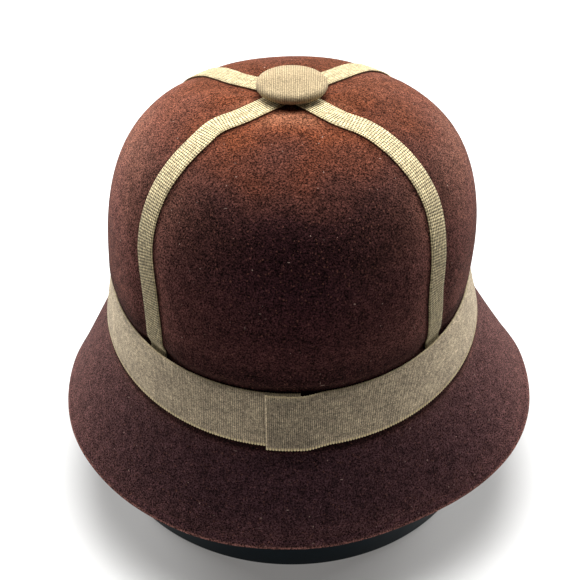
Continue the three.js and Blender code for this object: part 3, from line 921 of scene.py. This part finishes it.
def grosgrain(grain, ribs):
    """Ribbed ribbon in a greyed cream, with paler loops along its lower edge."""
    def ribbed(tree, where):
        weave = use_group(tree, ribs, Vector=where, Pitch=RIB, Thread=0.5 * MM)
        return weave["Height"], weave["Shade"]

    material, tree, shader, where, color = ribbon_base("grosgrain", grain, ribbed, BAND_YARN)
    edge = attribute(tree, "edge")
    upper = remap(tree, edge, 0.93, 1.0, to_high=0.35)
    lower = remap(tree, math_node(tree, "MULTIPLY", edge, -1.0), 0.88, 0.97)
    along = feed(tree, node(tree, "ShaderNodeSeparateXYZ"), Vector=where).outputs["X"]
    wave = math_node(tree, "COSINE", math_node(tree, "MULTIPLY", along, FULL_TURN / PICOT))
    beads = remap(tree, wave, -0.6, 0.8, to_low=0.2, to_high=0.95)
    loops = math_node(tree, "MAXIMUM", upper, math_node(tree, "MULTIPLY", lower, beads))
    feed(tree, shader, Base_Color=blend(tree, loops, color, LOOP_COLOR))
    return material


def mesh_ribbon(grain):
    """Narrow ribbon of an open diagonal weave, in a yellower cream."""
    def diagonal(tree, where):
        place = feed(tree, node(tree, "ShaderNodeSeparateXYZ"), Vector=where).outputs
        waves = []
        for operation in ("ADD", "SUBTRACT"):
            slant = math_node(tree, operation, place["X"], place["Y"])
            phase = math_node(tree, "MULTIPLY", slant, FULL_TURN / MESH)
            waves.append(math_node(tree, "COSINE", phase))
        height = math_node(tree, "MULTIPLY", *waves)
        return height, remap(tree, height, -0.9, 0.6, to_low=0.02, to_high=1.7, kind="LINEAR")

    material, tree, shader, _, color = ribbon_base("mesh_ribbon", grain, diagonal, TRIM_YARN)
    feed(tree, shader, Base_Color=color)
    return material


def button_cloth(grain, ribs):
    """The same cloth in a warmer cream, drawn over the button."""
    material, tree, shader = new_material("button_cloth")
    where = node(tree, "ShaderNodeTexCoord").outputs["Object"]
    weave = use_group(tree, ribs, Vector=where, Pitch=0.7 * MM, Thread=0.6 * MM)
    uneven = use_group(tree, grain, Vector=where, Size=0.6 * MM, Contrast=2.4)["Factor"]
    color = yarn_color(tree, where, BUTTON_YARN, detail=3)
    color = tinted(tree, color, math_node(tree, "MULTIPLY", weave["Shade"], uneven))
    bumped(tree, shader, weave["Height"], strength=0.4, depth=0.2 * MM)
    feed(tree, shader, Base_Color=color, Roughness=0.8, Specular_IOR_Level=0.2)
    return material


def stand_finish(grain, lint):
    """Black with a soft gloss and a little dust."""
    material, tree, shader = new_material("black_stand")
    where = node(tree, "ShaderNodeTexCoord").outputs["Object"]
    smear = use_group(tree, grain, Vector=where, Size=18 * MM, Contrast=0.8)["Factor"]
    dust = use_group(tree, lint, Vector=where, Spacing=7 * MM, Size=0.3 * MM, Share=0.3)["Mask"]
    dusty = math_node(tree, "MULTIPLY", dust, DUST_STRENGTH)
    feed(
        tree, shader,
        Base_Color=blend(tree, dusty, ramp(tree, smear, STAND_BLACK), DUST_COLOR),
        Roughness=remap(tree, smear, 0.8, 1.2, to_low=0.3, to_high=0.42),
        Specular_IOR_Level=0.25, Specular_Tint=(0.55, 0.85, 1.0, 1),
    )
    return material


# Studio

# name, place, size, power
LAMPS = (
    ("top_light", (0.0, 0.16, 1.1), 0.8, 27.0),
    ("left_light", (-0.85, 0.7, 0.45), 0.6, 13.0),
    ("right_light", (0.85, 0.7, 0.45), 0.6, 13.0),
)
LAMP_AIM = Vector((0, 0, 0.12))
SKY = 0.07
FLOOR_GLOW = 0.17  # the floor glows a little as painted light, so the shadows on it stay pale
FLOOR_HALF = 6
CAMERA_ELEVATION = math.radians(37.36)
CAMERA_TARGET = Vector((-0.7, 0, 84.45)) * MM
CAMERA_DISTANCE = 506.4 * MM
SENSOR_WIDTH = 36
CAMERA_LENS = 1100 / 580 * SENSOR_WIDTH  # 1100 pixels of a picture that is 580 wide


def studio_white():
    material, tree, shader = new_material("studio_white")
    feed(
        tree, shader, Base_Color=(0.56, 0.56, 0.555, 1), Roughness=0.7, Specular_IOR_Level=0.1,
        # painted light: the floor's glow
        Emission_Color=(1.0, 0.97, 0.94, 1), Emission_Strength=FLOOR_GLOW,
    )
    return material


def studio():
    scene = bpy.context.scene
    bm = bmesh.new()
    bmesh.ops.create_grid(bm, x_segments=1, y_segments=1, size=FLOOR_HALF)
    mesh = to_mesh(bm, "studio_floor")
    mesh.materials.append(studio_white())
    floor = bpy.data.objects.new("studio_floor", mesh)
    scene.collection.objects.link(floor)

    world = bpy.data.worlds.new("studio")
    world.use_nodes = True
    feed(
        world.node_tree, world.node_tree.nodes["Background"],
        Color=(0.97, 0.98, 1, 1), Strength=SKY,
    )
    scene.world = world

    for name, place, size, power in LAMPS:
        lamp = bpy.data.lights.new(name, "AREA")
        lamp.size = size
        lamp.energy = power
        obj = bpy.data.objects.new(name, lamp)
        scene.collection.objects.link(obj)
        obj.location = place
        obj.rotation_euler = (LAMP_AIM - Vector(place)).to_track_quat("-Z", "Y").to_euler()

    back = Vector((0, -math.cos(CAMERA_ELEVATION), math.sin(CAMERA_ELEVATION)))
    away = back * CAMERA_DISTANCE
    lens = bpy.data.cameras.new("camera")
    lens.sensor_width = SENSOR_WIDTH
    lens.lens = CAMERA_LENS
    lens.clip_start = 0.01
    camera = bpy.data.objects.new("camera", lens)
    scene.collection.objects.link(camera)
    camera.location = CAMERA_TARGET + away
    camera.rotation_euler = (-away).to_track_quat("-Z", "Y").to_euler()
    scene.camera = camera
    scene.view_settings.view_transform = "Standard"


studio()
grain, lint, ribs = grain_group(), lint_group(), rib_group()
hat = felt_hat(velour(grain, lint))
surface = felt_surface(hat)
round_stand(stand_finish(grain, lint))
covered_button(button_cloth(grain, ribs))
band = hat_band(grosgrain(grain, ribs))
narrow_cloth = mesh_ribbon(grain)
band_length() + LAP_FOLD
for trim in TRIMS:
    crown_ribbon(trim, surface, narrow_cloth)
